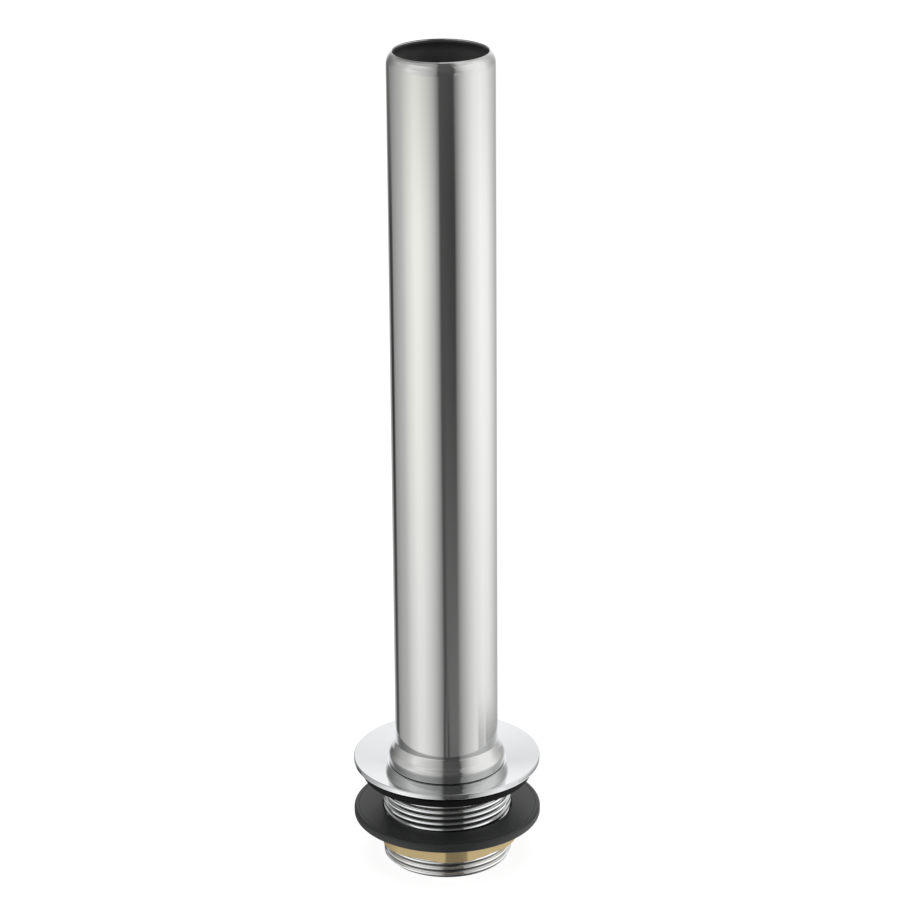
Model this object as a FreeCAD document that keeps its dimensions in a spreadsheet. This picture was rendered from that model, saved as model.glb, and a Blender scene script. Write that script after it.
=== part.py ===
"""Standing overflow pipe with its sink waste.

A stainless tube stands on a tapered rubber bung in the mouth of a plated brass waste. The waste's flange
and seal lie on the sink's floor, and a rubber washer and a brass nut on its threaded tail clamp the sink
from below. Millimetres, +Z up, the origin at the centre of the tail's lower end, +Y away from the front.
"""
import FreeCAD, Part
import math
import os
import PartDesign
import Sketcher

# Driving sizes, in millimetres and degrees
SIZES = {
    # Overflow tube
    "tube_diameter": 38.0,
    "tube_wall": 1.0,
    "tube_length": 270.0,
    "mouth_diameter": 33.5,
    "neck_radius": 5.5,
    "mouth_land": 1.23,
    "foot_flare": 2.6,
    "knee_flare": 2.5,
    "waist_flare": 1.0,
    "knee_height": 3.3,
    "waist_height": 5.2,
    "shoulder_height": 8.0,
    "knee_round": 2.5,
    "waist_round": 2.0,
    "shoulder_round": 6.0,
    "foot_chamfer": 0.25,
    # Rubber bung
    "lip_thickness": 0.4,
    "lip_overhang": 0.1,
    "bung_wall": 3.4,
    "bung_depth": 11.6,
    "bung_cone_height": 5.0,
    "spigot_height": 14.0,
    "spigot_chamfer": 1.0,
    "tube_fit": 0.1,
    "cone_gap": 0.3,
    "seat_gap": 0.2,
    # Waste body
    "waste_height": 40.0,
    "dish_depth": 2.4,
    "land_margin": 0.4,
    "land_width": 1.7,
    "seat_depth": 13.6,
    "seat_taper": 1.4,
    "tail_wall": 4.9,
    "tail_chamfer": 1.2,
    "bore_chamfer": 0.5,
    "relief_depth": 1.5,
    "relief_width": 2.5,
    "flange_reach": 10.7,
    "rim_width": 0.4,
    "rim_thickness": 1.9,
    "rim_bevel": 3.4,
    "flange_thickness": 3.9,
    # Seal, washer and nut
    "seal_gap": 0.3,
    "seal_width": 7.5,
    "seal_thickness": 2.8,
    "sink_gap": 13.7,
    "washer_gap": 0.2,
    "washer_width": 10.7,
    "washer_thickness": 3.2,
    "washer_shoulder": 0.9,
    "nut_gap": 0.1,
    "nut_wall": 0.75,
    "nut_corner": 1.75,
    "nut_height": 8.7,
    "nut_chamfer": 0.6,
    "nut_angle": 7.1,
}

doc = FreeCAD.newDocument("overflow_pipe")
sheet = doc.addObject("Spreadsheet::Sheet", "Sizes")
for row, (alias, value) in enumerate(SIZES.items(), start=1):
    sheet.set("A%d" % row, alias)
    sheet.set("B%d" % row, str(value))
    sheet.setAlias("B%d" % row, alias)
doc.recompute()


def size(formula):
    """A formula of size names as an expression that points at the sheet."""
    words = []
    word = ""
    for letter in formula + " ":
        if letter.isalnum() or letter == "_":
            word += letter
            continue
        words.append("Sizes." + word if word in SIZES else word)
        words.append(letter)
        word = ""
    return "".join(words).strip()


def number(formula):
    """The value that a formula has now."""
    return float(sheet.evalExpression(size(formula)))


# Radii and heights that several pieces share, as formulas of the driving sizes
TUBE_R = "(tube_diameter / 2)"
TUBE_BORE_R = "(tube_diameter / 2 - tube_wall)"
MOUTH_R = "(mouth_diameter / 2)"
FOOT_R = "(tube_diameter / 2 + foot_flare)"
LIP_R = "(tube_diameter / 2 + foot_flare + lip_overhang)"
LAND_R = "(tube_diameter / 2 + foot_flare + lip_overhang + land_margin)"
SEAT_R = "(tube_diameter / 2 + foot_flare + lip_overhang + land_margin - land_width)"
WASTE_BORE_R = "(tube_diameter / 2 + foot_flare + lip_overhang + land_margin - land_width - seat_taper)"
THREAD_R = "(tube_diameter / 2 + tail_wall)"
FLANGE_R = "(tube_diameter / 2 + tail_wall + flange_reach)"
LAND_Z = "(waste_height - dish_depth)"
UNDERSIDE_Z = "(waste_height - flange_thickness)"
SEAL_Z = "(waste_height - flange_thickness - seal_thickness)"
WASHER_Z = "(waste_height - flange_thickness - seal_thickness - sink_gap - washer_thickness)"
NUT_Z = "(waste_height - flange_thickness - seal_thickness - sink_gap - washer_thickness - nut_height)"


def new_body(name, height="0", turn=0.0):
    """An empty body that stands at a height given by a formula."""
    body = doc.addObject("PartDesign::Body", name)
    body.Label = name
    spin = FreeCAD.Rotation(FreeCAD.Vector(0, 0, 1), turn)
    body.Placement = FreeCAD.Placement(FreeCAD.Vector(0, 0, number(height)), spin)
    body.setExpression("Placement.Base.z", size(height))
    return body


def new_sketch(body, name, role):
    """A sketch on one of the body's own origin planes."""
    sketch = body.newObject("Sketcher::SketchObject", name)
    plane = [item for item in body.Origin.OriginFeatures if item.Role == role][0]
    sketch.AttachmentSupport = (plane, [""])
    sketch.MapMode = "FlatFace"
    return sketch


def bind(sketch, constraint, formula):
    """Adds a constraint and ties its value to the sheet."""
    index = sketch.addConstraint(constraint)
    sketch.setExpression("Constraints[%d]" % index, size(formula))


def arc_between(start, end, radius, centre_side):
    """The short arc of a radius from start to end, with its centre left (1) or right (-1) of the chord."""
    middle = (start + end) * 0.5
    chord = end - start
    normal = FreeCAD.Vector(-chord.y, chord.x, 0).normalize() * centre_side
    reach = math.sqrt(max(radius ** 2 - (chord.Length / 2) ** 2, 0.0))
    centre = middle + normal * reach
    first, last = (start, end) if centre_side > 0 else (end, start)
    angles = [math.atan2(point.y - centre.y, point.x - centre.x) for point in (first, last)]
    return Part.ArcOfCircle(Part.Circle(centre, FreeCAD.Vector(0, 0, 1), radius), angles[0], angles[1])


def section(body, name, corners, arcs=None):
    """A closed half section on the XZ plane, from (radius, height) formulas.

    arcs maps the number of the corner that an arc starts from to (radius formula, centre side).
    """
    arcs = arcs or {}
    sketch = new_sketch(body, name, "XZ_Plane")
    points = [FreeCAD.Vector(number(radius), number(height), 0) for radius, height in corners]
    ends = []
    for index, start in enumerate(points):
        end = points[(index + 1) % len(points)]
        if index in arcs:
            formula, side = arcs[index]
            sketch.addGeometry(arc_between(start, end, number(formula), side))
            ends.append((1, 2) if side > 0 else (2, 1))
        else:
            sketch.addGeometry(Part.LineSegment(start, end))
            ends.append((1, 2))
    for index, (radius, height) in enumerate(corners):
        following = (index + 1) % len(corners)
        sketch.addConstraint(Sketcher.Constraint("Coincident", index, ends[index][1], following, ends[following][0]))
        place = points[index]
        bind(sketch, Sketcher.Constraint("DistanceX", -1, 1, index, ends[index][0], place.x), radius)
        if height == "0":
            sketch.addConstraint(Sketcher.Constraint("PointOnObject", index, ends[index][0], -1))
        else:
            bind(sketch, Sketcher.Constraint("DistanceY", -1, 1, index, ends[index][0], place.y), height)
    for index, (formula, side) in arcs.items():
        bind(sketch, Sketcher.Constraint("Radius", index, number(formula)), formula)
    return sketch


def rings(body, name, radii):
    """Circles about the axis on the XY plane, from radius formulas."""
    sketch = new_sketch(body, name, "XY_Plane")
    for index, radius in enumerate(radii):
        circle = Part.Circle(FreeCAD.Vector(0, 0, 0), FreeCAD.Vector(0, 0, 1), number(radius))
        sketch.addGeometry(circle)
        sketch.addConstraint(Sketcher.Constraint("Coincident", index, 3, -1, 1))
        bind(sketch, Sketcher.Constraint("Radius", index, number(radius)), radius)
    return sketch


def turned(body, kind, sketch):
    """A full Revolution or Groove of a half section about the upright axis."""
    feature = body.newObject("PartDesign::" + kind, kind.lower() + "_" + sketch.Name)
    feature.Profile = sketch
    feature.ReferenceAxis = (sketch, ["V_Axis"])
    feature.Angle = 360
    doc.recompute()
    return feature


def circle_edges(feature, places):
    """Names of a feature's circular edges at the given (radius, height) formulas."""
    wanted = [(number(radius), number(height)) for radius, height in places]
    names = []
    for index, edge in enumerate(feature.Shape.Edges, start=1):
        if not isinstance(edge.Curve, Part.Circle):
            continue
        here = (edge.Curve.Radius, edge.Curve.Center.z)
        if any(math.dist(here, place) < 0.01 for place in wanted):
            names.append("Edge%d" % index)
    if len(names) < len(places):
        raise RuntimeError("An edge is missing on " + feature.Name)
    return names


def dressed(body, kind, base, amount, places):
    """A Fillet or Chamfer on circular edges of the feature before it."""
    feature = body.newObject("PartDesign::" + kind, "%s_%s_%s" % (kind.lower(), body.Name, amount))
    feature.Base = (base, circle_edges(base, places))
    feature.setExpression("Radius" if kind == "Fillet" else "Size", size(amount))
    doc.recompute()
    return feature


def overflow_tube():
    """One length of thin tube: the mouth spun inwards, the foot flared out in a rounded bead."""
    body = new_body("overflow_tube", LAND_Z + " + lip_thickness")
    knee_r = "(tube_diameter / 2 + knee_flare)"
    waist_r = "(tube_diameter / 2 + waist_flare)"
    draw = "(tube_diameter / 2 - mouth_diameter / 2)"
    neck_rise = "sqrt(neck_radius^2 - (neck_radius - %s)^2)" % draw
    neck_z = "(tube_length - %s)" % neck_rise
    land_z = "(tube_length - mouth_land)"
    inner_draw = "(%s - tube_wall)" % draw
    inner_rise = "(%s - mouth_land)" % neck_rise
    inner_radius = "((%s^2 + %s^2) / abs(2 * %s))" % (inner_draw, inner_rise, inner_draw)
    inner_side = -1 if number(inner_draw) > 0 else 1
    corners = [
        (FOOT_R, "0"),
        (knee_r, "knee_height"),
        (waist_r, "waist_height"),
        (TUBE_R, "shoulder_height"),
        (TUBE_R, neck_z),
        (MOUTH_R, "tube_length"),
        (MOUTH_R, land_z),
        (TUBE_BORE_R, neck_z),
        (TUBE_BORE_R, "shoulder_height"),
        (waist_r + " - tube_wall", "waist_height"),
        (knee_r + " - tube_wall", "knee_height"),
        (FOOT_R + " - tube_wall", "0"),
    ]
    wall = section(body, "tube_wall_section", corners, {4: ("neck_radius", 1), 6: (inner_radius, inner_side)})
    tube = turned(body, "Revolution", wall)
    tube = dressed(body, "Fillet", tube, "shoulder_round",
                   [(TUBE_R, "shoulder_height"), (TUBE_BORE_R, "shoulder_height")])
    tube = dressed(body, "Fillet", tube, "waist_round",
                   [(waist_r, "waist_height"), (waist_r + " - tube_wall", "waist_height")])
    tube = dressed(body, "Fillet", tube, "knee_round",
                   [(knee_r, "knee_height"), (knee_r + " - tube_wall", "knee_height")])
    dressed(body, "Chamfer", tube, "foot_chamfer", [(FOOT_R, "0")])
    return body


def foot_bung():
    """Hollow rubber bung: a spigot inside the tube's foot, a lip under its edge, a taper in the waste."""
    body = new_body("foot_bung", LAND_Z + " - bung_depth")
    bore_r = "(tube_diameter / 2 - tube_wall - tube_fit - bung_wall)"
    spigot_r = "(tube_diameter / 2 - tube_wall - tube_fit)"
    taper_top_r = SEAT_R + " - seat_gap"
    taper_end_r = SEAT_R + " - seat_gap - seat_taper * bung_depth / seat_depth"
    lip_z = "(bung_depth + lip_thickness)"
    corners = [
        (bore_r, "0"),
        (taper_end_r, "0"),
        (taper_top_r, "bung_depth"),
        (LIP_R, "bung_depth"),
        (LIP_R, lip_z),
        (FOOT_R + " - tube_wall - cone_gap", lip_z),
        (spigot_r, lip_z + " + bung_cone_height"),
        (spigot_r, lip_z + " + spigot_height"),
        (bore_r, lip_z + " + spigot_height"),
    ]
    bung = turned(body, "Revolution", section(body, "bung_section", corners))
    dressed(body, "Chamfer", bung, "spigot_chamfer", [(spigot_r, lip_z + " + spigot_height")])
    return body


def waste_body():
    """Plated brass waste in one piece: dished flange, tapered seat, and a tail with the thread's outside size."""
    body = new_body("waste_body")
    ridge_r = "(%s - rim_width)" % FLANGE_R
    rim_z = "(waste_height - rim_width)"
    slant = "rim_width * cos(45)"
    edge_z = "(waste_height - rim_thickness)"
    bevel_r = "(%s - rim_bevel)" % FLANGE_R
    seat_z = "(%s - seat_depth)" % LAND_Z
    corners = [
        (WASTE_BORE_R, "0"),
        (THREAD_R, "0"),
        (THREAD_R, UNDERSIDE_Z),
        (bevel_r, UNDERSIDE_Z),
        (FLANGE_R, edge_z),
        (FLANGE_R, rim_z),
        ("(%s + %s)" % (ridge_r, slant), "(%s + %s)" % (rim_z, slant)),
        (ridge_r, "waste_height"),
        (LAND_R, LAND_Z),
        (SEAT_R, LAND_Z),
        (WASTE_BORE_R, seat_z),
    ]
    waste = turned(body, "Revolution", section(body, "waste_section", corners))
    relief_r = "(%s - relief_depth)" % THREAD_R
    relief_z = "(%s - relief_width)" % UNDERSIDE_Z
    cut = [(relief_r, relief_z), (FLANGE_R, relief_z), (FLANGE_R, UNDERSIDE_Z), (relief_r, UNDERSIDE_Z)]
    before = waste.Shape.Volume
    waste = turned(body, "Groove", section(body, "relief_section", cut))
    if waste.Shape.Volume >= before:
        raise RuntimeError("The thread relief cuts nothing")
    waste = dressed(body, "Chamfer", waste, "tail_chamfer", [(THREAD_R, "0")])
    dressed(body, "Chamfer", waste, "bore_chamfer", [(WASTE_BORE_R, "0")])
    return body


def padded_ring(body, inner, outer, thickness):
    """A flat ring padded up from the body's own floor."""
    ring = body.newObject("PartDesign::Pad", "ring_" + body.Name)
    ring.Profile = rings(body, "circles_" + body.Name, [inner, outer])
    ring.setExpression("Length", size(thickness))
    doc.recompute()
    return ring


def flange_seal():
    """Rubber ring under the flange."""
    body = new_body("flange_seal", SEAL_Z)
    inner = "(%s + seal_gap)" % THREAD_R
    padded_ring(body, inner, "(%s + seal_width)" % inner, "seal_thickness")
    return body


def rubber_washer():
    """Rubber ring that the nut presses up against the sink, its upper outer edge broken."""
    body = new_body("rubber_washer", WASHER_Z)
    outer = "(%s + washer_gap + washer_width)" % THREAD_R
    ring = padded_ring(body, "%s + washer_gap" % THREAD_R, outer, "washer_thickness")
    dressed(body, "Chamfer", ring, "washer_shoulder", [(outer, "washer_thickness")])
    return body


def backnut():
    """Six-sided brass nut with its corners turned off; the bore clears the thread's outside size."""
    body = new_body("backnut", NUT_Z, SIZES["nut_angle"])
    body.setExpression("Placement.Rotation.Angle", size("nut_angle"))
    bore_r = "(%s + nut_gap)" % THREAD_R
    flat_r = "(%s + nut_wall)" % bore_r
    corner_r = "(%s + nut_corner)" % flat_r
    prism = body.newObject("PartDesign::AdditivePrism", "hexagon")
    prism.Polygon = 6
    prism.setExpression("Circumradius", size("%s / cos(30)" % flat_r))
    prism.setExpression("Height", size("nut_height"))
    prism.AttachmentOffset = FreeCAD.Placement(FreeCAD.Vector(0, 0, 0), FreeCAD.Rotation(30, 0, 0))
    doc.recompute()
    whole = prism.Shape.Volume
    turning = body.newObject("PartDesign::Pocket", "turned_corners")
    turning.Profile = rings(body, "corner_circles", [corner_r, "2 * " + corner_r])
    turning.Type = "ThroughAll"
    turning.Midplane = True
    doc.recompute()
    boring = body.newObject("PartDesign::Pocket", "bore")
    boring.Profile = rings(body, "bore_circle", [bore_r])
    boring.Type = "ThroughAll"
    boring.Midplane = True
    doc.recompute()
    if not prism.Shape.Volume > turning.Shape.Volume > boring.Shape.Volume or whole <= 0:
        raise RuntimeError("A cut in the nut removes nothing")
    slope = "(nut_corner + nut_chamfer) * tan(30)"
    wide_r = "(%s + nut_corner)" % corner_r
    start_r = "(%s - nut_chamfer)" % corner_r
    low = [(start_r, "0"), (wide_r, "0"), (wide_r, slope)]
    high = [(start_r, "nut_height"), (wide_r, "nut_height - " + slope), (wide_r, "nut_height")]
    turned(body, "Groove", section(body, "low_chamfer", low))
    turned(body, "Groove", section(body, "high_chamfer", high))
    return body


pieces = [overflow_tube(), foot_bung(), waste_body(), flange_seal(), rubber_washer(), backnut()]
doc.recompute()
for item in doc.Objects:
    if "Invalid" in item.State or "Error" in item.State:
        raise RuntimeError("%s did not build: %s" % (item.Name, item.State))
os.makedirs("parts", exist_ok=True)
for body in pieces:
    if body.Shape.isNull() or not body.Shape.isValid():
        raise RuntimeError("%s has no valid shape" % body.Label)
    body.Shape.exportStep(os.path.join("parts", body.Label + ".step"))
    print("%s: %.1f mm3, %d solid" % (body.Label, body.Shape.Volume, len(body.Shape.Solids)))
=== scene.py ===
"""Looks of a sink's standing overflow pipe, its waste, seal, washer and nut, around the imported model."""
import math

import bmesh
import bpy
from mathutils import Matrix, Vector


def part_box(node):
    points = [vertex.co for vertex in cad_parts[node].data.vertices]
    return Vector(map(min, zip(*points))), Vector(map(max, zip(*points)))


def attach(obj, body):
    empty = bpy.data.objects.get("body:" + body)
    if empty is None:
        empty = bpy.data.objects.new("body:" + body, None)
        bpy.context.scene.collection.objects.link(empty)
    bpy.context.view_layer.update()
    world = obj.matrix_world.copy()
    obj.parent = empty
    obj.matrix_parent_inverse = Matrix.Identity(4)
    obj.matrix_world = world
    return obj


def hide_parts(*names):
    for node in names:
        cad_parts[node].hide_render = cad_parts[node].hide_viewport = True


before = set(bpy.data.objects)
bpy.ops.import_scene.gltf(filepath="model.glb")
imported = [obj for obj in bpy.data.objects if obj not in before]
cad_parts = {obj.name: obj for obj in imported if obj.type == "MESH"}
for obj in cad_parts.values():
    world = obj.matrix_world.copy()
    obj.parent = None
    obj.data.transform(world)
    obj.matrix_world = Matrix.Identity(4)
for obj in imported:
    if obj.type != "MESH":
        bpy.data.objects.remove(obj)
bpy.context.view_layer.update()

# Overflow tube
# A length of thin stainless steel tube that stands in the waste and sets the level of the water. Its mouth
# is spun inwards and its foot is flared out in a bead that rests on the bung's lip. The outside is polished
# to a satin, and the inside is left as it came from the mill, its colour darkened as painted shade.
MM = 0.001
AROUND = 256
SHARP_EDGE = math.radians(28)
SUPPORT = 0.12
ARC_STEP = math.radians(9)

TUBE_RADIUS = 19.0
TUBE_WALL = 1.0
MOUTH_RADIUS = 16.75
MOUTH_LAND = 1.23
MOUTH_ROUND = 0.3
NECK_RADIUS = 5.5
FOOT_RADIUS = 21.5
FOOT_SKEW = 0.2
KNEE_RADIUS = 21.6
KNEE_HEIGHT = 3.3
KNEE_ROUND = 2.5
WAIST_RADIUS = 20.1
WAIST_HEIGHT = 5.2
WAIST_ROUND = 2.0
SHOULDER_HEIGHT = 8.0
SHOULDER_ROUND = 2.5


def arc(centre, size, start, end):
    """Points of an arc round a (radius, height) centre, from one angle to another, in degrees from outwards."""
    start, end = math.radians(start), math.radians(end)
    steps = max(2, math.ceil(abs(end - start) / ARC_STEP))
    turns = [start + (end - start) * step / steps for step in range(steps + 1)]
    return [(centre[0] + size * math.cos(turn), centre[1] + size * math.sin(turn)) for turn in turns]


def rounded(corners):
    """A closed outline of (radius, height) points from corners of (radius, height) or (radius, height, round)."""
    outline = []
    for number, corner in enumerate(corners):
        here = Vector(corner[:2])
        if len(corner) < 3:
            outline.append(here)
            continue
        before = (Vector(corners[number - 1][:2]) - here).normalized()
        after = (Vector(corners[(number + 1) % len(corners)][:2]) - here).normalized()
        half = before.angle(after) / 2
        centre = here + (before + after).normalized() * (corner[2] / math.sin(half))
        start = here + before * (corner[2] / math.tan(half)) - centre
        end = here + after * (corner[2] / math.tan(half)) - centre
        steps = max(2, math.ceil((math.pi - 2 * half) / ARC_STEP))
        for step in range(steps + 1):
            outline.append(centre + start.lerp(end, step / steps).normalized() * corner[2])
    return outline


def supported(outline):
    """The outline with a point close to each end of its long sides, which keeps their shading straight."""
    points = []
    for number, here in enumerate(outline):
        here, following = Vector(here), Vector(outline[(number + 1) % len(outline)])
        points.append(here)
        length = (following - here).length
        if length > 6 * SUPPORT:
            points += [here.lerp(following, SUPPORT / length), following.lerp(here, SUPPORT / length)]
    return points


def finished(name, form, materials):
    """A new object from a bmesh, with its faces outwards, smooth, and sharp only at its real edges."""
    bmesh.ops.remove_doubles(form, verts=form.verts, dist=0.0005 * MM)
    bmesh.ops.recalc_face_normals(form, faces=form.faces)
    mesh = bpy.data.meshes.new(name)
    form.to_mesh(mesh)
    form.free()
    mesh.polygons.foreach_set("use_smooth", [True] * len(mesh.polygons))
    mesh.set_sharp_from_angle(angle=SHARP_EDGE)
    for material in materials:
        mesh.materials.append(material)
    piece = bpy.data.objects.new(name, mesh)
    bpy.context.scene.collection.objects.link(piece)
    return piece


def turned(name, outline, *materials):
    """A closed piece turned about the upright axis from a closed outline in millimetres."""
    form = bmesh.new()
    rings = []
    for radius, height in supported(outline):
        turns = [2 * math.pi * side / AROUND for side in range(AROUND)]
        places = [(radius * math.cos(turn), radius * math.sin(turn), height) for turn in turns]
        rings.append([form.verts.new(Vector(place) * MM) for place in places])
    for ring, following in zip(rings, rings[1:] + rings[:1]):
        for side in range(AROUND):
            beside = (side + 1) % AROUND
            form.faces.new((ring[side], ring[beside], following[beside], following[side]))
    return finished(name, form, materials)


def linear(colour):
    """An sRGB hex colour as the linear colour that a shader's socket takes."""
    parts = [int(colour[place:place + 2], 16) / 255 for place in (1, 3, 5)]
    return [part / 12.92 if part <= 0.04045 else ((part + 0.055) / 1.055) ** 2.4 for part in parts] + [1.0]


def add(tree, kind, inputs=None, **settings):
    """Adds a node with its settings. Inputs maps a socket to a value, or to the output that feeds it."""
    node = tree.nodes.new(kind)
    for name, value in settings.items():
        setattr(node, name, value)
    for socket, value in (inputs or {}).items():
        if isinstance(value, bpy.types.NodeSocket):
            tree.links.new(value, node.inputs[socket])
        else:
            node.inputs[socket].default_value = value
    return node


def new_material(name):
    """An empty material with its output and object coordinates: (material, tree, output, coordinates)."""
    material = bpy.data.materials.new(name)
    material.use_nodes = True
    material.node_tree.nodes.clear()
    tree = material.node_tree
    output = add(tree, "ShaderNodeOutputMaterial")
    place = add(tree, "ShaderNodeTexCoord").outputs["Object"]
    return material, tree, output, place


# Satin polished stainless steel: belts run lengthwise leave fine upright lines, which blur reflections
# slightly across the tube and leave the long streaks of light and shade crisp.
LINE_SPACING = 0.45
LINE_LENGTH = 60.0
CLOUD_SIZE = 14.0
satin_steel, tree, output, place = new_material("satin_polished_stainless_steel")
along = add(tree, "ShaderNodeMapping", {"Vector": place,
                                        "Scale": (1.0, 1.0, LINE_SPACING / LINE_LENGTH)}).outputs["Vector"]
lines = add(tree, "ShaderNodeTexNoise", {"Vector": along, "Scale": 1 / (LINE_SPACING * MM), "Detail": 2.0})
clouds = add(tree, "ShaderNodeTexNoise", {"Vector": place, "Scale": 1 / (CLOUD_SIZE * MM), "Detail": 3.0})
line_roughness = add(tree, "ShaderNodeMapRange", {"Value": lines.outputs["Fac"], "To Min": 0.03, "To Max": 0.06})
roughness = add(tree, "ShaderNodeMath", {0: clouds.outputs["Fac"], 1: 0.04,
                                         2: line_roughness.outputs["Result"]}, operation="MULTIPLY_ADD")
bump = add(tree, "ShaderNodeBump", {"Height": lines.outputs["Fac"], "Strength": 0.05, "Distance": 0.02 * MM})
steel = add(tree, "ShaderNodeBsdfPrincipled", {"Base Color": linear("#d2d2d1"), "Metallic": 1.0,
                                               "Roughness": roughness.outputs[0],
                                               "Normal": bump.outputs["Normal"]})
tree.links.new(steel.outputs["BSDF"], output.inputs["Surface"])

# Mill finished stainless steel: the inside of the tube, dull, with a random tone of drawing residue; its base
# colour is darker than the outside's as painted shade inside the tube.
mill_steel_with_painted_bore_shade, tree, output, place = new_material("mill_finished_steel_painted_bore_shade")
residue = add(tree, "ShaderNodeTexNoise", {"Vector": place, "Scale": 1 / (6 * MM), "Detail": 4.0})
tone = add(tree, "ShaderNodeMix", {"Factor": residue.outputs["Fac"]}, data_type="RGBA")
# Painted shade: both tones are darker than the outside's steel, to stand in for the shade inside the tube.
tone.inputs[6].default_value = linear("#787878")
tone.inputs[7].default_value = linear("#8a8a8a")
steel = add(tree, "ShaderNodeBsdfPrincipled", {"Base Color": tone.outputs[2], "Metallic": 1.0,
                                               "Roughness": 0.75})
tree.links.new(steel.outputs["BSDF"], output.inputs["Surface"])

tube_low, tube_high = (corner.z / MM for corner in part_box("overflow_tube"))
bore = TUBE_RADIUS - TUBE_WALL
neck_inset = MOUTH_RADIUS - TUBE_RADIUS + NECK_RADIUS
neck_height = tube_high - math.sqrt(NECK_RADIUS ** 2 - neck_inset ** 2)
neck_angle = math.degrees(math.acos(neck_inset / NECK_RADIUS))
inner_angle = math.degrees(math.acos(neck_inset / (NECK_RADIUS - TUBE_WALL)))
neck_centre = (TUBE_RADIUS - NECK_RADIUS, neck_height)
tube_corners = [
    (FOOT_RADIUS, tube_low - FOOT_SKEW, 0.1),
    (KNEE_RADIUS, tube_low + KNEE_HEIGHT, KNEE_ROUND),
    (WAIST_RADIUS, tube_low + WAIST_HEIGHT, WAIST_ROUND),
    (TUBE_RADIUS, tube_low + SHOULDER_HEIGHT, SHOULDER_ROUND),
    *arc(neck_centre, NECK_RADIUS, 0, neck_angle - 2),
    (MOUTH_RADIUS, tube_high, MOUTH_ROUND),
    (MOUTH_RADIUS, tube_high - MOUTH_LAND),
    *arc(neck_centre, NECK_RADIUS - TUBE_WALL, inner_angle - 4, 0),
    (bore, tube_low + SHOULDER_HEIGHT, SHOULDER_ROUND),
    (WAIST_RADIUS - TUBE_WALL, tube_low + WAIST_HEIGHT, WAIST_ROUND),
    (KNEE_RADIUS - TUBE_WALL, tube_low + KNEE_HEIGHT, KNEE_ROUND),
    (FOOT_RADIUS - TUBE_WALL, tube_low),
]
tube = turned("overflow_tube_skin", rounded(tube_corners), satin_steel, mill_steel_with_painted_bore_shade)
# The bore, the inside of the neck and the mouth's inner edge take the mill steel with its painted shade.
for face in tube.data.polygons:
    middle = face.center / MM
    across = math.hypot(middle.x, middle.y)
    low_bore = middle.z < neck_height and across < (TUBE_RADIUS + bore) / 2
    neck_bore = math.hypot(across - neck_centre[0], middle.z - neck_height) < NECK_RADIUS - TUBE_WALL / 2
    mouth_edge = across < MOUTH_RADIUS + 0.02
    face.material_index = 1 if low_bore or mouth_edge or (middle.z >= neck_height and neck_bore) else 0
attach(tube, "waste")
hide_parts("overflow_tube")

# Foot bung
# A hollow tapered rubber bung. Its spigot sits inside the tube's foot, its lip shows as a thin black line
# under the bead, and its taper seals in the waste. It is moulded in one piece and only pushed in.
BUNG_BORE = 14.5
SPIGOT_RADIUS = 17.9
SPIGOT_CHAMFER = 1.0
LIP_RADIUS = 21.3
LIP_THICKNESS = 0.4
CONE_TOP = 5.0
TAPER_TOP = 20.2
TAPER_END = 19.0

# Moulded black rubber: a dull skin with a fine grain and a bloom that turns it grey where light grazes it.
black_rubber, tree, output, place = new_material("moulded_black_rubber")
grain = add(tree, "ShaderNodeTexNoise", {"Vector": place, "Scale": 1 / (0.5 * MM), "Detail": 3.0})
bloom = add(tree, "ShaderNodeTexNoise", {"Vector": place, "Scale": 1 / (9 * MM), "Detail": 3.0})
tone = add(tree, "ShaderNodeMix", {"Factor": bloom.outputs["Fac"]}, data_type="RGBA")
tone.inputs[6].default_value = linear("#1e1f1f")
tone.inputs[7].default_value = linear("#272828")
bump = add(tree, "ShaderNodeBump", {"Height": grain.outputs["Fac"], "Strength": 0.25, "Distance": 0.05 * MM})
rubber = add(tree, "ShaderNodeBsdfPrincipled", {"Base Color": tone.outputs[2], "Roughness": 0.42,
                                                "Specular IOR Level": 0.34,
                                                "Normal": bump.outputs["Normal"]})
tree.links.new(rubber.outputs["BSDF"], output.inputs["Surface"])

bung_low, bung_high = (corner.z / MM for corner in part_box("foot_bung"))
bung_corners = [
    (BUNG_BORE, bung_low, 0.6),
    (TAPER_END, bung_low, 0.8),
    (TAPER_TOP, tube_low - LIP_THICKNESS),
    (LIP_RADIUS, tube_low - LIP_THICKNESS, 0.1),
    (LIP_RADIUS, tube_low - FOOT_SKEW, 0.05),
    (FOOT_RADIUS - TUBE_WALL, tube_low),
    (FOOT_RADIUS - TUBE_WALL - 0.3, tube_low),
    (SPIGOT_RADIUS, tube_low + CONE_TOP),
    (SPIGOT_RADIUS, bung_high - SPIGOT_CHAMFER, 0.4),
    (SPIGOT_RADIUS - SPIGOT_CHAMFER, bung_high, 0.4),
    (BUNG_BORE, bung_high, 0.5),
]
bung = turned("foot_bung_skin", rounded(bung_corners), black_rubber)
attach(bung, "waste")
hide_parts("foot_bung")

# Waste body
# A brass casting, turned and chromium plated: the dished flange that lies on the sink, the tapered seat
# for the bung and the tail. The seal and the sink's wall are clamped under the flange.
BORE_RADIUS = 19.0
BORE_CHAMFER = 0.5
SEAT_LENGTH = 13.6
SEAT_RADIUS = 20.4
LAND_RADIUS = 22.1
DISH_DEPTH = 2.4
RIDGE_RADIUS = 34.2
RIM_RADIUS = 34.6
RIM_ROUND = 0.4
RIM_THICKNESS = 1.9
UNDERSIDE_RADIUS = 31.2
FLANGE_THICKNESS = 3.9
RELIEF_RADIUS = 22.4
RELIEF_WIDTH = 2.5
CORE_RADIUS = 22.0

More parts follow.
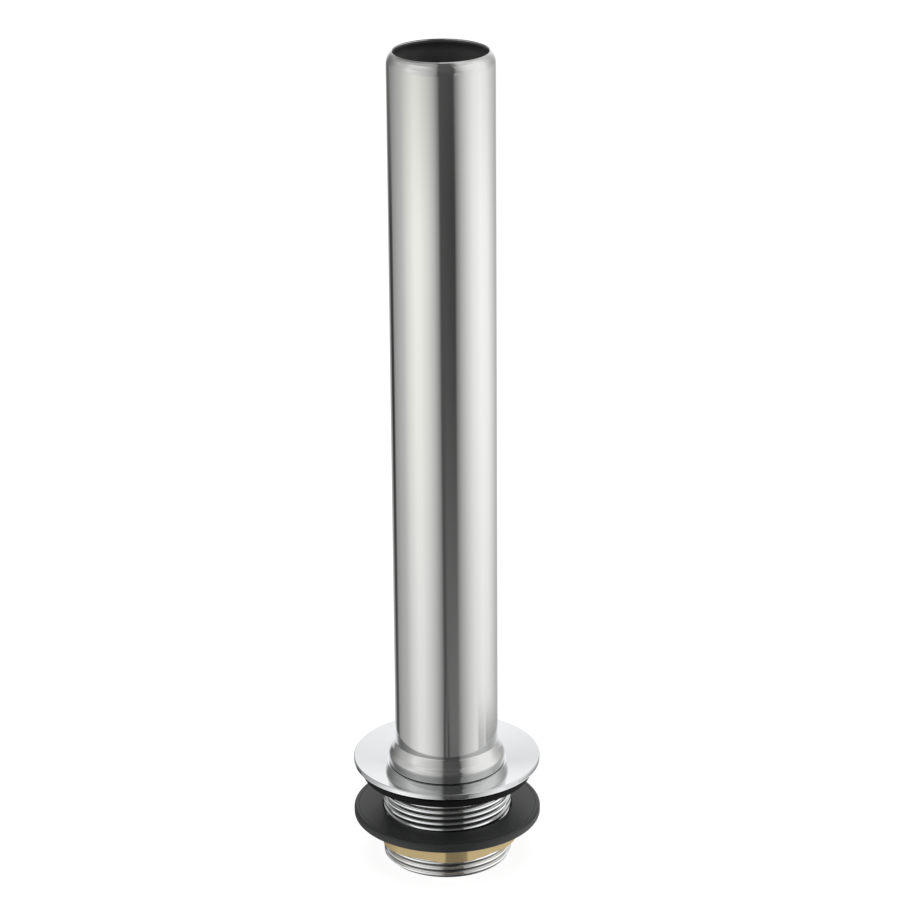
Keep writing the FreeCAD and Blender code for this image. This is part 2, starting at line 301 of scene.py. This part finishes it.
# Bright chromium plate: a mirror with a faint orange peel from the buffed brass under it.
PEEL_SIZE = 7.0
chrome, tree, output, place = new_material("bright_chromium_plate")
peel = add(tree, "ShaderNodeTexNoise", {"Vector": place, "Scale": 1 / (PEEL_SIZE * MM), "Detail": 1.0})
bump = add(tree, "ShaderNodeBump", {"Height": peel.outputs["Fac"], "Strength": 0.15, "Distance": 0.03 * MM})
plate = add(tree, "ShaderNodeBsdfPrincipled", {"Base Color": linear("#d3d4d5"), "Metallic": 1.0,
                                               "Roughness": 0.05, "Normal": bump.outputs["Normal"]})
tree.links.new(plate.outputs["BSDF"], output.inputs["Surface"])

waste_low, waste_high = (corner.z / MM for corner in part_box("waste_body"))
land = waste_high - DISH_DEPTH
underside = waste_high - FLANGE_THICKNESS
relief = underside - RELIEF_WIDTH
waste_corners = [
    (BORE_RADIUS, waste_low + BORE_CHAMFER),
    (BORE_RADIUS + BORE_CHAMFER, waste_low),
    (CORE_RADIUS, waste_low),
    (CORE_RADIUS, relief),
    (RELIEF_RADIUS, relief),
    (RELIEF_RADIUS, underside, 0.3),
    (UNDERSIDE_RADIUS, underside, 0.4),
    (RIM_RADIUS, waste_high - RIM_THICKNESS, 0.3),
    *arc((RIDGE_RADIUS, waste_high - RIM_ROUND), RIM_ROUND, 0, 88),
    (RIDGE_RADIUS - 0.1, waste_high, 0.3),
    (LAND_RADIUS, land, 0.4),
    (SEAT_RADIUS, land, 0.15),
    (BORE_RADIUS, land - SEAT_LENGTH),
]
waste = turned("waste_body_skin", rounded(waste_corners), chrome)
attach(waste, "waste")
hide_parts("waste_body")

# Tail thread
# The parallel pipe thread that is cut on the tail for the nut, eleven turns to the inch, right-handed,
# plated with the rest of the waste.
PITCH = 2.309
CREST_RADIUS = 23.9
ROOT_RADIUS = 22.45
THREAD_COLUMNS = 240
ROWS_A_TURN = 16
CREST_ROWS = 5
ROOT_ROWS = 2
CREST_LEAN = math.radians(15)
THREAD_LEAD = 22.7

# Plated thread: the same plate, rougher in the valleys where the buff doesn't reach, with painted shade that
# darkens its colour towards the root.
thread_plate, tree, output, place = new_material("plated_thread_painted_valley_shade")
across = add(tree, "ShaderNodeVectorMath", {0: place, 1: (1.0, 1.0, 0.0)}, operation="MULTIPLY").outputs["Vector"]
reach = add(tree, "ShaderNodeVectorMath", {0: across}, operation="LENGTH").outputs["Value"]
root_to_crest = add(tree, "ShaderNodeMapRange", {"Value": reach, "From Min": (ROOT_RADIUS + 0.2) * MM,
                                          "From Max": (CREST_RADIUS - 0.3) * MM}).outputs["Result"]
tone = add(tree, "ShaderNodeMix", {"Factor": root_to_crest}, data_type="RGBA")
# Painted shade: the colour darkens from the crest down to the root, standing in for the shade in the thread's
# valleys.
tone.inputs[6].default_value = linear("#878682")
tone.inputs[7].default_value = linear("#f2f3f4")
roughness = add(tree, "ShaderNodeMapRange", {"Value": root_to_crest, "To Min": 0.30, "To Max": 0.06}).outputs["Result"]
plate = add(tree, "ShaderNodeBsdfPrincipled", {"Base Color": tone.outputs[2], "Metallic": 1.0,
                                               "Roughness": roughness})
tree.links.new(plate.outputs["BSDF"], output.inputs["Surface"])

thread_tree = bpy.data.node_groups.new("pipe_thread", "GeometryNodeTree")
face = thread_tree.interface
for name in ("Pitch", "Low", "High", "Crest", "Root", "Back", "Lead", "Gap", "Side"):
    face.new_socket(name=name, in_out="INPUT", socket_type="NodeSocketFloat")
face.new_socket(name="Rows", in_out="INPUT", socket_type="NodeSocketInt")
face.new_socket(name="Material", in_out="INPUT", socket_type="NodeSocketMaterial")
face.new_socket(name="Geometry", in_out="OUTPUT", socket_type="NodeSocketGeometry")
given = add(thread_tree, "NodeGroupInput").outputs


def math_node(operation, *values, clamp=False):
    """The output of a sum in the thread's tree."""
    inputs = dict(enumerate(values))
    return add(thread_tree, "ShaderNodeMath", inputs, operation=operation, use_clamp=clamp).outputs[0]


grid = add(thread_tree, "GeometryNodeMeshGrid", {"Size X": 1.0, "Size Y": 1.0,
                                                 "Vertices X": THREAD_COLUMNS + 1, "Vertices Y": given["Rows"]})
spot = add(thread_tree, "ShaderNodeSeparateXYZ", {0: add(thread_tree, "GeometryNodeInputPosition").outputs[0]})
turn = math_node("ADD", spot.outputs["X"], 0.5)
row = math_node("MULTIPLY", math_node("ADD", spot.outputs["Y"], 0.5), math_node("SUBTRACT", given["Rows"], 1.0))
row = math_node("ROUND", row)
last = math_node("SUBTRACT", given["Rows"], 3.5)
past_top = math_node("GREATER_THAN", row, math_node("ADD", last, 1.0))
on_back_low = math_node("ADD", math_node("LESS_THAN", row, 0.5),
                        math_node("GREATER_THAN", row, math_node("ADD", last, 2.0)), clamp=True)
on_back_high = math_node("SUBTRACT", past_top, math_node("GREATER_THAN", row, math_node("ADD", last, 2.0)))
rise = math_node("MULTIPLY", math_node("DIVIDE", math_node("SUBTRACT", row, 1.0), float(ROWS_A_TURN)),
                 given["Pitch"])
helix = math_node("MULTIPLY", turn, given["Pitch"])
height = math_node("ADD", math_node("SUBTRACT", given["Low"], given["Pitch"]), math_node("ADD", rise, helix))
height = math_node("MINIMUM", math_node("MAXIMUM", height, given["Low"]), given["High"])
phase = math_node("FRACT", math_node("DIVIDE", math_node("SUBTRACT", height, helix), given["Pitch"]))
past_crest = math_node("SUBTRACT", math_node("FRACT", math_node("ADD", phase, 0.5)), 0.5)
swell = add(thread_tree, "ShaderNodeMapRange", {"Value": math_node("ABSOLUTE", past_crest),
                                                "From Min": 0.5 - ROOT_ROWS / 2 / ROWS_A_TURN,
                                                "From Max": CREST_ROWS / 2 / ROWS_A_TURN}).outputs["Result"]
above_crest_foot = math_node("MULTIPLY", math_node("ADD", past_crest, CREST_ROWS / 2 / ROWS_A_TURN), given["Pitch"])
crest = math_node("SUBTRACT", given["Crest"], math_node("MULTIPLY", above_crest_foot, math.tan(CREST_LEAN)))
reach = math_node("ADD", given["Root"], math_node("MULTIPLY", swell, math_node("SUBTRACT", crest, given["Root"])))
reach = math_node("ADD", reach, given["Gap"])
from_end = math_node("MINIMUM", math_node("SUBTRACT", height, given["Low"]),
                     math_node("SUBTRACT", given["High"], height))
limit = math_node("ADD", math_node("MULTIPLY", given["Lead"], given["Side"]), from_end)
reach = math_node("MULTIPLY", math_node("MINIMUM", math_node("MULTIPLY", reach, given["Side"]), limit),
                  given["Side"])
backed = math_node("ADD", on_back_low, on_back_high)
reach = math_node("ADD", math_node("MULTIPLY", reach, math_node("SUBTRACT", 1.0, backed)),
                  math_node("MULTIPLY", given["Back"], backed))
height = math_node("ADD", math_node("MULTIPLY", height, math_node("SUBTRACT", 1.0, backed)),
                   math_node("ADD", math_node("MULTIPLY", given["Low"], on_back_low),
                             math_node("MULTIPLY", given["High"], on_back_high)))
angle = math_node("MULTIPLY", turn, 2 * math.pi)
lifted = add(thread_tree, "ShaderNodeCombineXYZ",
             {"X": math_node("MULTIPLY", reach, math_node("COSINE", angle)),
              "Y": math_node("MULTIPLY", reach, math_node("SINE", angle)), "Z": height})
wound = add(thread_tree, "GeometryNodeSetPosition", {"Geometry": grid.outputs["Mesh"],
                                                     "Position": lifted.outputs["Vector"]})
joined = add(thread_tree, "GeometryNodeMergeByDistance", {"Geometry": wound.outputs["Geometry"],
                                                          "Distance": 0.0005 * MM})
real = add(thread_tree, "GeometryNodeRealizeInstances", {"Geometry": joined.outputs["Geometry"]})
dressed = add(thread_tree, "GeometryNodeSetMaterial", {"Geometry": real.outputs["Geometry"],
                                                       "Material": given["Material"]})
add(thread_tree, "NodeGroupOutput", {"Geometry": dressed.outputs["Geometry"]})


def threaded(name, material, low, high, **sizes):
    """A closed sleeve with a thread on one side, from the thread's tree, with its sizes in millimetres."""
    holder = bpy.data.objects.new(name, bpy.data.meshes.new(name))
    bpy.context.scene.collection.objects.link(holder)
    winding = holder.modifiers.new("thread", "NODES")
    winding.node_group = thread_tree
    rows = math.ceil(((high - low) / PITCH + 1) * ROWS_A_TURN) + 4
    values = {"Pitch": PITCH * MM, "Low": low * MM, "High": high * MM, "Rows": rows, "Material": material,
              "Crest": CREST_RADIUS * MM, "Root": ROOT_RADIUS * MM}
    values.update({key: value * MM for key, value in sizes.items() if key != "Side"})
    values["Side"] = sizes["Side"]
    for socket in thread_tree.interface.items_tree:
        if socket.in_out == "INPUT":
            winding[socket.identifier] = values[socket.name]
    bpy.context.view_layer.update()
    made = bpy.data.meshes.new_from_object(holder.evaluated_get(bpy.context.evaluated_depsgraph_get()))
    bpy.data.objects.remove(holder)
    form = bmesh.new()
    form.from_mesh(made)
    return finished(name, form, [material])


tail_thread = threaded("tail_thread", thread_plate, waste_low, relief, Back=CORE_RADIUS, Lead=THREAD_LEAD, Gap=0.0,
                       Side=1.0)
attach(tail_thread, "waste")

# Flange seal
# A flat ring of black rubber that beds the flange on the sink, held there by its grip on the tail.
SEAL_BORE = 24.2
SEAL_RADIUS = 31.7

# Sheet rubber: a dull, even skin, its black darker than the moulded rubber's as painted shade under the flange.
seal_rubber_painted_shade, tree, output, place = new_material("black_sheet_rubber")
# Painted shade: this base colour is darkened for the seal's place in the shade under the flange.
rubber = add(tree, "ShaderNodeBsdfPrincipled", {"Base Color": linear("#0b0b0c"), "Roughness": 0.6,
                                                "Specular IOR Level": 0.12})
tree.links.new(rubber.outputs["BSDF"], output.inputs["Surface"])

seal_low, seal_high = (corner.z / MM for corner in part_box("flange_seal"))
seal_corners = [
    (SEAL_BORE, seal_low, 0.2),
    (SEAL_RADIUS, seal_low, 0.7),
    (SEAL_RADIUS, seal_high, 0.5),
    (SEAL_BORE, seal_high, 0.2),
]
seal = turned("flange_seal_skin", rounded(seal_corners), seal_rubber_painted_shade)
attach(seal, "waste")
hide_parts("flange_seal")

# Rubber washer
# The thicker ring that the nut presses up against the underside of the sink. It is moulded with a well
# rounded shoulder, and it rides on the nut.
WASHER_BORE = 24.1
WASHER_RADIUS = 34.78
FLASH_INSET = 1.6
washer_low, washer_high = (corner.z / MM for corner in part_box("rubber_washer"))
washer_corners = [
    (WASHER_BORE, washer_low, 0.2),
    (WASHER_RADIUS, washer_low, 0.5),
    (WASHER_RADIUS, washer_high, 1.1),
    (WASHER_RADIUS - FLASH_INSET, washer_high, 0.05),
    (WASHER_RADIUS - FLASH_INSET - 0.15, washer_high - 0.1, 0.05),
    (WASHER_RADIUS - FLASH_INSET - 0.3, washer_high, 0.05),
    (WASHER_BORE, washer_high, 0.3),
]
washer = turned("rubber_washer_skin", rounded(washer_corners), black_rubber)
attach(washer, "washer")
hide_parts("rubber_washer")

# Backnut
# A thin six-sided brass nut, turned from bar with its corners taken off, and left unplated. It runs on the
# tail's thread and carries the washer.
NUT_FLAT = 24.75
NUT_CORNER = 26.5
NUT_START = 25.9
NUT_BORE = 24.25
NUT_TURN = 7.1
CORNER_STEEPNESS = 1.732
EDGE_SHARPNESS = 14.0
NUT_ROWS = (0.0, 0.04, 0.1, 0.16, 0.22, 0.28, 0.34, 0.4, 0.6, 1.2)
NUT_COLUMNS = 720

# Machined brass: a dull straw yellow with fine turning marks, not polished.
brass, tree, output, place = new_material("machined_brass")
marks = add(tree, "ShaderNodeTexNoise", {"Vector": place, "Scale": 1 / (0.6 * MM), "Detail": 3.0})
stain = add(tree, "ShaderNodeTexNoise", {"Vector": place, "Scale": 1 / (8 * MM), "Detail": 3.0})
tone = add(tree, "ShaderNodeMix", {"Factor": stain.outputs["Fac"]}, data_type="RGBA")
tone.inputs[6].default_value = linear("#bba67a")
tone.inputs[7].default_value = linear("#cab88c")
bump = add(tree, "ShaderNodeBump", {"Height": marks.outputs["Fac"], "Strength": 0.2, "Distance": 0.03 * MM})
metal = add(tree, "ShaderNodeBsdfPrincipled", {"Base Color": tone.outputs[2], "Metallic": 1.0,
                                               "Roughness": 0.52, "Normal": bump.outputs["Normal"]})
tree.links.new(metal.outputs["BSDF"], output.inputs["Surface"])

nut_low, nut_high = (corner.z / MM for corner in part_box("backnut"))


def nut_reach(turn, from_face):
    """Radius of the nut's outside at an angle, and at a height from its nearer face."""
    off_flat = (turn - math.radians(NUT_TURN) + math.pi / 6) % (math.pi / 3) - math.pi / 6
    flat = NUT_FLAT / math.cos(off_flat)
    corner = min(NUT_CORNER, NUT_START + from_face * CORNER_STEEPNESS)
    return flat - math.log(1 + math.exp(EDGE_SHARPNESS * (flat - corner))) / EDGE_SHARPNESS


form = bmesh.new()
heights = [nut_low + row for row in NUT_ROWS] + [nut_high - row for row in reversed(NUT_ROWS)]
levels = [(nut_low, None)] + [(height, min(height - nut_low, nut_high - height)) for height in heights]
levels.append((nut_high, None))
rings = []
for height, from_face in levels:
    ring = []
    for column in range(NUT_COLUMNS):
        turn = 2 * math.pi * column / NUT_COLUMNS
        reach = NUT_BORE if from_face is None else nut_reach(turn, from_face)
        ring.append(form.verts.new(Vector((reach * math.cos(turn), reach * math.sin(turn), height)) * MM))
    rings.append(ring)
for ring, following in zip(rings, rings[1:] + rings[:1]):
    for column in range(NUT_COLUMNS):
        beside = (column + 1) % NUT_COLUMNS
        form.faces.new((ring[column], ring[beside], following[beside], following[column]))
nut = finished("backnut_skin", form, [brass])
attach(nut, "nut")
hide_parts("backnut")
nut_thread = threaded("backnut_thread", brass, nut_low, nut_high, Back=NUT_BORE, Lead=NUT_BORE - 0.1, Gap=0.07,
                      Side=-1.0)
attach(nut_thread, "nut")

# Floor and studio
# A plain white floor that keeps a faint shadow, and the plain surroundings that the bright metal mirrors:
# pale walls, a soft lamp each side, and the dark gap between them where the camera stands.
FLOOR_SIZE = 8.0
FLOOR_DROP = 0.05
floor_mesh = bpy.data.meshes.new("studio_floor")
half = FLOOR_SIZE / 2
floor_mesh.from_pydata([(x, y, -FLOOR_DROP * MM) for x, y in ((-half, -half), (half, -half), (half, half),
                                                               (-half, half))], [], [(0, 1, 2, 3)])
floor = bpy.data.objects.new("studio_floor", floor_mesh)
bpy.context.scene.collection.objects.link(floor)
floor_white, tree, output, place = new_material("white_studio_floor")
seen = add(tree, "ShaderNodeLightPath").outputs["Is Camera Ray"]
paint = add(tree, "ShaderNodeBsdfDiffuse", {"Color": linear("#f4f4f4")})
glow = add(tree, "ShaderNodeEmission", {"Color": linear("#ffffff"), "Strength": 0.86})
dim_paint = add(tree, "ShaderNodeBsdfDiffuse", {"Color": (0.22, 0.22, 0.22, 1.0)})
shadowed = add(tree, "ShaderNodeAddShader", {0: glow.outputs[0], 1: dim_paint.outputs[0]})
both = add(tree, "ShaderNodeMixShader", {"Fac": seen, 1: paint.outputs[0], 2: shadowed.outputs[0]})
tree.links.new(both.outputs[0], output.inputs["Surface"])
floor_mesh.materials.append(floor_white)
floor.visible_glossy = False

# The studio that the metal mirrors, as rings at heights above the horizon in degrees. Each step is an angle
# from the camera round to its right, in degrees, how bright the studio is there, and how much blue it keeps.
CREAM = 0.955
LOW_TUBE = ((-180, 0.42), (-155, 0.36), (-148, 0.09), (-136, 0.09), (-130, 0.30), (-112, 0.40), (-96, 0.47),
            (-80, 0.68), (-62, 0.82), (-50, 0.79), (-32, 0.62), (-18, 0.42), (-8, 0.24), (-5.5, 0.05),
            (-3.5, 0.05), (-1.5, 0.16), (1.5, 0.16), (3.5, 0.05), (5.5, 0.06), (8, 0.16), (25, 0.16), (29, 0.20),
            (42, 0.46), (52, 0.58), (68, 0.76), (74, 0.78), (78, 0.44), (93, 0.50), (97, 0.66), (101, 0.34),
            (136, 0.32), (180, 0.42))
STUDIO = {
    -27.1: ((-180, 0.42), (-155, 0.36), (-148, 0.10), (-136, 0.12), (-130, 0.40), (-112, 0.58), (-106, 0.64),
          (-80, 0.86), (-60, 1.12), (-39, 0.94), (-20, 0.56), (-8, 0.28), (-3, 0.05), (4, 0.05), (25, 0.06),
          (28, 0.28), (42, 0.63), (55, 0.84), (68, 1.0), (104, 1.12), (127, 0.90), (150, 0.50), (180, 0.42)),
    -26.8: LOW_TUBE,
    -26.1: LOW_TUBE,
    -25.5: ((-180, 0.42), (-155, 0.36), (-148, 0.08), (-136, 0.08), (-130, 0.30), (-112, 0.41), (-96, 0.48),
            (-80, 0.69), (-62, 0.84), (-50, 0.82), (-32, 0.65), (-18, 0.44), (-8, 0.25), (-3, 0.08), (0, 0.08),
            (4, 0.15), (25, 0.16), (28, 0.20), (33, 0.34), (42, 0.46), (52, 0.60), (68, 0.79), (90, 0.91),
            (110, 0.84), (127, 0.66), (150, 0.43), (180, 0.42)),
    -20: ((-180, 0.42), (-155, 0.34), (-148, 0.04), (-136, 0.04), (-130, 0.30), (-112, 0.44), (-96, 0.54),
          (-80, 0.78, CREAM), (-62, 0.96, CREAM), (-50, 0.94, CREAM), (-32, 0.76, CREAM), (-18, 0.52), (-8, 0.26),
          (-4, 0.08), (8, 0.085), (26, 0.065), (29, 0.19), (40, 0.46), (52, 0.66), (68, 0.88), (90, 1.03),
          (110, 0.98), (127, 0.78), (150, 0.46), (180, 0.42)),
    -17: ((-180, 0.60), (-158, 0.30), (-150, 0.05), (-136, 0.06), (-130, 0.30), (-112, 0.43), (-96, 0.54),
          (-80, 0.78, CREAM), (-62, 0.98, CREAM), (-50, 0.98, CREAM), (-32, 0.80, CREAM), (-18, 0.56), (-8, 0.28),
          (-4, 0.08), (4, 0.07), (27, 0.05), (29, 0.17), (40, 0.44), (52, 0.66), (68, 0.90), (90, 1.05),
          (110, 0.98), (127, 0.74), (150, 0.44), (165, 0.42), (180, 0.60)),
    -14: ((-180, 0.55), (-165, 0.40), (-158, 0.10), (-146, 0.14), (-136, 0.26), (-125, 0.31), (-112, 0.40),
          (-96, 0.49, CREAM), (-80, 0.64, CREAM), (-62, 0.78, CREAM), (-50, 0.75, CREAM), (-32, 0.60, CREAM),
          (-18, 0.42), (-8, 0.20), (-4, 0.08), (24, 0.065), (28, 0.19), (40, 0.46), (52, 0.67), (68, 0.86),
          (90, 0.94), (110, 0.80), (127, 0.62), (150, 0.42), (165, 0.48), (180, 0.66)),
    -4: ((-180, 0.90), (-163, 0.60), (-155, 0.30), (-148, 0.12), (-138, 0.15), (-124, 0.27), (-112, 0.40),
         (-100, 0.50), (-86, 0.55), (-69, 0.76), (-60, 0.74), (-50, 0.70), (-32, 0.54), (-14, 0.34), (-6, 0.07),
         (26, 0.07), (28, 0.34), (42, 0.50), (53, 0.72), (75, 0.90), (102, 0.90), (118, 0.60), (127, 0.50),
         (140, 0.40), (152, 0.38), (163, 0.72), (180, 0.90)),
    8: ((-180, 0.98), (-173, 0.96), (-165, 0.75), (-158, 0.36), (-150, 0.18), (-139, 0.17), (-128, 0.22),
        (-112, 0.36), (-98, 0.46), (-86, 0.58), (-72, 0.82), (-62, 0.80), (-50, 0.73), (-32, 0.58), (-12, 0.32),
        (-6, 0.08), (27, 0.07), (30, 0.22), (34, 0.30), (42, 0.46), (53, 0.72), (67, 0.84), (76, 0.92),
        (90, 0.92), (102, 0.88), (118, 0.62), (127, 0.54), (140, 0.46), (152, 0.60), (163, 0.84), (173, 0.94), (180, 0.98)),
    22: ((-180, 0.94), (-170, 0.78), (-160, 0.70), (-148, 0.34), (-132, 0.32), (-122, 0.36), (-110, 0.48),
         (-96, 0.54), (-88, 0.54), (-73, 0.72), (-62, 0.66), (-33, 0.52), (-12, 0.32), (-6, 0.09), (28, 0.08),
         (33, 0.28), (37, 0.40), (48, 0.66), (62, 0.84), (85, 0.92), (98, 0.96), (108, 0.86), (122, 0.64),
         (134, 0.50), (145, 0.56), (160, 0.80), (170, 0.84), (180, 0.94)),
    42: ((-180, 1.0), (-169, 0.98), (-160, 0.70), (-145, 0.22), (-132, 0.20), (-116, 0.30), (-106, 0.38),
         (-96, 0.50), (-81, 0.66), (-73, 0.78), (-55, 0.76), (-40, 0.70), (-28, 0.58), (-14, 0.36), (-6, 0.10),
         (30, 0.09), (36, 0.36), (46, 0.56), (62, 0.80), (78, 0.88), (94, 0.88), (104, 0.84), (113, 0.74),
         (122, 0.62), (145, 0.70), (160, 0.86), (169, 0.96), (180, 1.0)),
    52: ((-180, 0.98), (-160, 0.66), (-145, 0.22), (-132, 0.20), (-116, 0.24), (-96, 0.34), (-73, 0.46),
         (-40, 0.42), (-28, 0.36), (-14, 0.24), (-6, 0.08), (30, 0.08), (36, 0.30), (46, 0.40), (62, 0.60),
         (94, 0.66), (104, 0.60), (122, 0.56), (145, 0.66), (180, 0.98)),
    66: ((-180, 0.95), (-140, 0.40), (-122, 0.24), (-96, 0.32), (-60, 0.44), (-44, 0.42), (-16, 0.30),
         (-8, 0.10), (46, 0.10), (54, 0.50), (70, 0.72), (90, 0.74), (110, 0.70), (150, 0.80), (180, 0.95)),
    80: ((-180, 0.80), (-140, 0.50), (-110, 0.36), (-70, 0.34), (-36, 0.26), (-24, 0.10), (70, 0.10),
         (82, 0.40), (95, 0.60), (110, 0.70), (180, 0.80)),
}
LAMP_GAIN = 1.333

world = bpy.data.worlds.new("studio")
world.use_nodes = True
bpy.context.scene.world = world
tree = world.node_tree
tree.nodes.clear()
output = add(tree, "ShaderNodeOutputWorld")
look = add(tree, "ShaderNodeSeparateXYZ", {0: add(tree, "ShaderNodeTexCoord").outputs["Generated"]})
away = add(tree, "ShaderNodeMath", {0: look.outputs["Y"], 1: -1.0}, operation="MULTIPLY")
bearing = add(tree, "ShaderNodeMath", {0: look.outputs["X"], 1: away.outputs[0]}, operation="ARCTAN2")
share = add(tree, "ShaderNodeMath", {0: bearing.outputs[0], 1: 1 / (2 * math.pi), 2: 0.5},
            operation="MULTIPLY_ADD")


def studio_ring(steps):
    """The brightness of the studio round the object, from its steps."""
    ring = add(tree, "ShaderNodeValToRGB", {"Fac": share.outputs[0]})
    stops = ring.color_ramp.elements
    while len(stops) > 1:
        stops.remove(stops[-1])
    for number, (degrees, level, *blue) in enumerate(steps):
        stop = stops[0] if number == 0 else stops.new(degrees / 360 + 0.5)
        stop.position = degrees / 360 + 0.5
        stop.color = (level, level, level * (blue[0] if blue else 1.0), 1.0)
    return ring.outputs["Color"]


heights = sorted(STUDIO)
around = studio_ring(STUDIO[heights[0]])
for below, above in zip(heights, heights[1:]):
    lift = add(tree, "ShaderNodeMapRange", {"Value": look.outputs["Z"], "From Min": math.sin(math.radians(below)),
                                            "From Max": math.sin(math.radians(above))})
    rings = add(tree, "ShaderNodeMix", {"Factor": lift.outputs["Result"]}, data_type="RGBA")
    tree.links.new(around, rings.inputs[6])
    tree.links.new(studio_ring(STUDIO[above]), rings.inputs[7])
    around = rings.outputs[2]
path = add(tree, "ShaderNodeLightPath")
mirrored = add(tree, "ShaderNodeBackground", {"Color": around, "Strength": LAMP_GAIN})
plain = add(tree, "ShaderNodeBackground", {"Color": linear("#ffffff"), "Strength": 0.55})
seen = add(tree, "ShaderNodeBackground", {"Color": linear("#ffffff")})
unseen = add(tree, "ShaderNodeMixShader", {"Fac": path.outputs["Is Glossy Ray"], 1: plain.outputs[0],
                                           2: mirrored.outputs[0]})
whole = add(tree, "ShaderNodeMixShader", {"Fac": path.outputs["Is Camera Ray"], 1: unseen.outputs[0],
                                          2: seen.outputs[0]})
tree.links.new(whole.outputs[0], output.inputs["Surface"])

# Soft lamps: (name, place in metres, side in metres, power in watts)
LAMPS = (
    ("left_lamp", (-0.9, -0.9, 0.9), 0.8, 6.0),
    ("right_lamp", (1.1, -0.5, 0.8), 0.8, 6.0),
    ("top_lamp", (0.0, 0.2, 1.5), 1.2, 12.0),
)
for name, spot, side, power in LAMPS:
    light = bpy.data.lights.new(name, "AREA")
    light.size = side
    light.energy = power
    lamp = bpy.data.objects.new(name, light)
    lamp.location = spot
    lamp.rotation_euler = (Vector((0, 0, 0.1)) - Vector(spot)).to_track_quat("-Z", "Y").to_euler()
    lamp.visible_glossy = False
    bpy.context.scene.collection.objects.link(lamp)

# Camera: a long lens from the front, looking down on the object as the photograph does.
CAMERA_PLACE = (0.0, -1.087371, 0.579089)
CAMERA_PITCH = math.radians(21.0345)
CAMERA_YAW = math.radians(0.1105)
CAMERA_ROLL = math.radians(-0.4557)
FOCAL_PIXELS = 3241.3
FRAME_PIXELS = 900
SENSOR = 36.0

camera_data = bpy.data.cameras.new("camera")
camera_data.sensor_width = SENSOR
camera_data.lens = FOCAL_PIXELS / FRAME_PIXELS * SENSOR
camera = bpy.data.objects.new("camera", camera_data)
bpy.context.scene.collection.objects.link(camera)
bpy.context.scene.camera = camera
forward = Vector((math.sin(CAMERA_YAW) * math.cos(CAMERA_PITCH), math.cos(CAMERA_YAW) * math.cos(CAMERA_PITCH),
                  -math.sin(CAMERA_PITCH)))
level = Vector((math.cos(CAMERA_YAW), -math.sin(CAMERA_YAW), 0.0))
upward = level.cross(forward)
across = level * math.cos(CAMERA_ROLL) + upward * math.sin(CAMERA_ROLL)
upright = upward * math.cos(CAMERA_ROLL) - level * math.sin(CAMERA_ROLL)
axes = Matrix((across, upright, -forward)).transposed()
camera.matrix_world = Matrix.Translation(CAMERA_PLACE) @ axes.to_4x4()

bpy.context.scene.view_settings.view_transform = "Standard"
